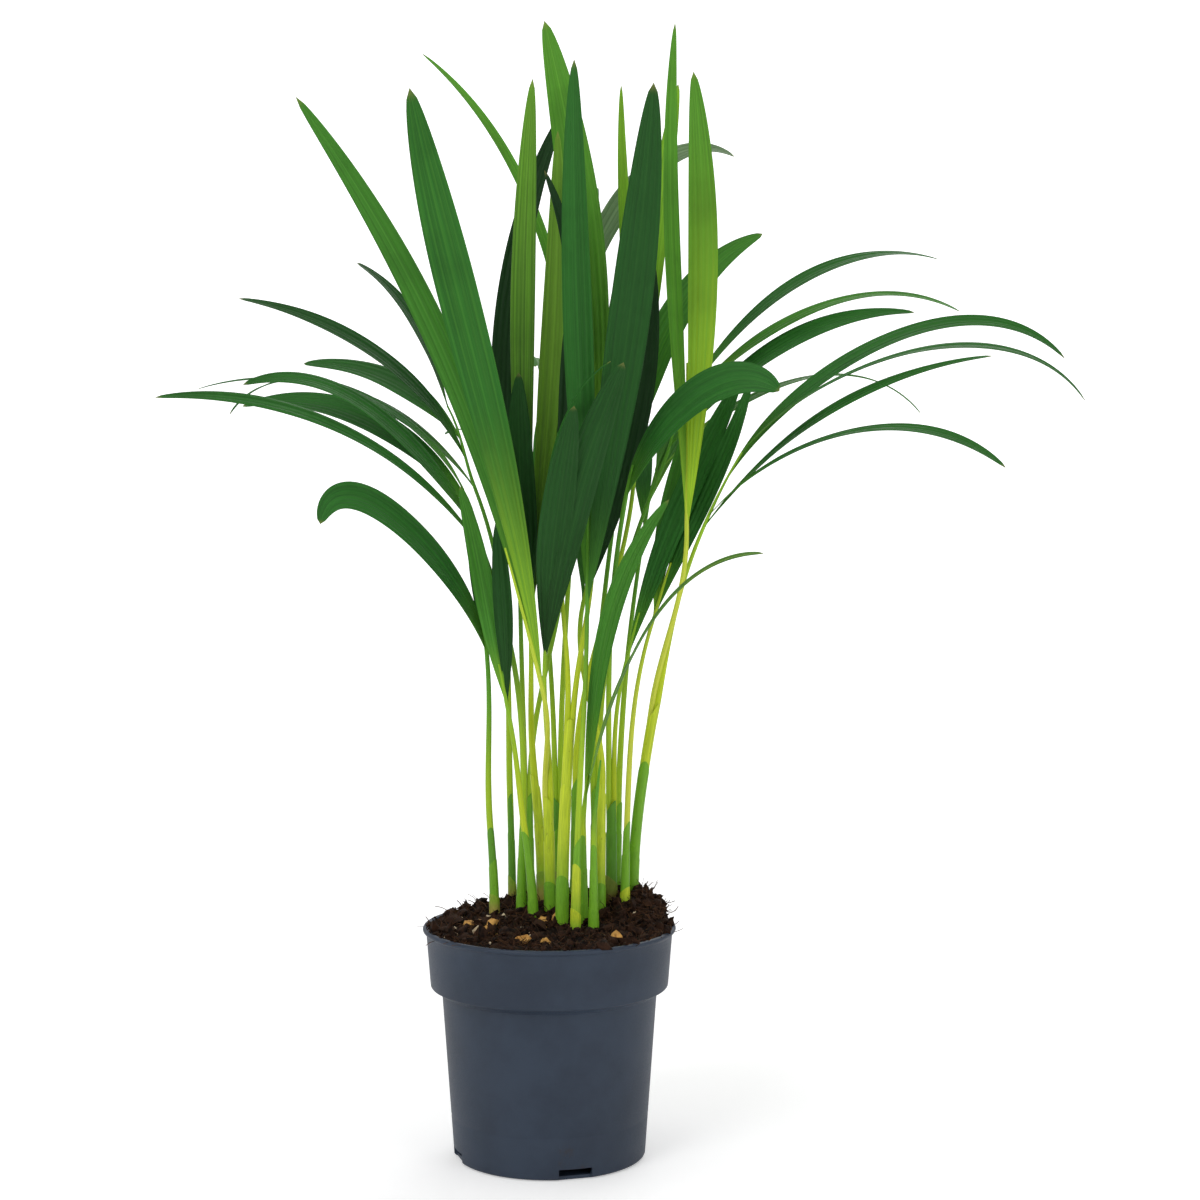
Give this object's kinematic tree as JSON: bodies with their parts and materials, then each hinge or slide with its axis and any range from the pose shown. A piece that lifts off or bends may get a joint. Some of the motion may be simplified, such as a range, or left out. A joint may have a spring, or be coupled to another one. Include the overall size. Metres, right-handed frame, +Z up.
{
  "type": "potted areca palm",
  "caption": "Young clustering feather palm in a round tapered nursery pot: slim upright stems rise from heaped soil and carry long narrow arching leaflets.",
  "frame": {"origin": "middle of the pot's flat underside", "axes": "+Z up along the pot's axis, -Y towards the side that the picture shows, +X to that view's right"},
  "size_m": [0.4235, 0.2488, 0.538],
  "materials": {
    "pot": "satin slate blue grey, moulded, lightly scuffed",
    "soil": "dark fibrous peat, rough",
    "stem": "smooth green leaf sheaths, satin",
    "frond": "pleated leaf, soft satin gloss"
  },
  "bodies": {
    "root": {"frond_arc_left": "frond", "frond_arc_right": "frond", "frond_arching_right": "frond", "frond_back_pair": "frond", "frond_back_right": "frond", "frond_centre_bright": "frond", "frond_centre_dark": "frond", "frond_centre_left": "frond", "frond_dark_left": "frond", "frond_dark_middle": "frond", "frond_feather_back": "frond", "frond_feather_back_right": "frond", "frond_feather_far_left": "frond", "frond_feather_far_right": "frond", "frond_feather_left": "frond", "frond_feather_right": "frond", "frond_front": "frond", "frond_hooked_left": "frond", "frond_inner": "frond", "frond_low_left": "frond", "frond_low_right": "frond", "frond_middle_right": "frond", "frond_narrow_right": "frond", "frond_spear": "frond", "frond_tall_left": "frond", "frond_tall_right": "frond", "pot": "pot", "soil": "soil", "stem_01": "stem", "stem_02": "stem", "stem_03": "stem", "stem_04": "stem", "stem_05": "stem", "stem_06": "stem", "stem_07": "stem", "stem_08": "stem", "stem_09": "stem", "stem_10": "stem", "stem_11": "stem", "stem_12": "stem", "stem_13": "stem", "stem_14": "stem", "stem_15": "stem", "stem_16": "stem", "stem_17": "stem", "stem_18": "stem", "stem_19": "stem"}
  },
  "joints": []
}
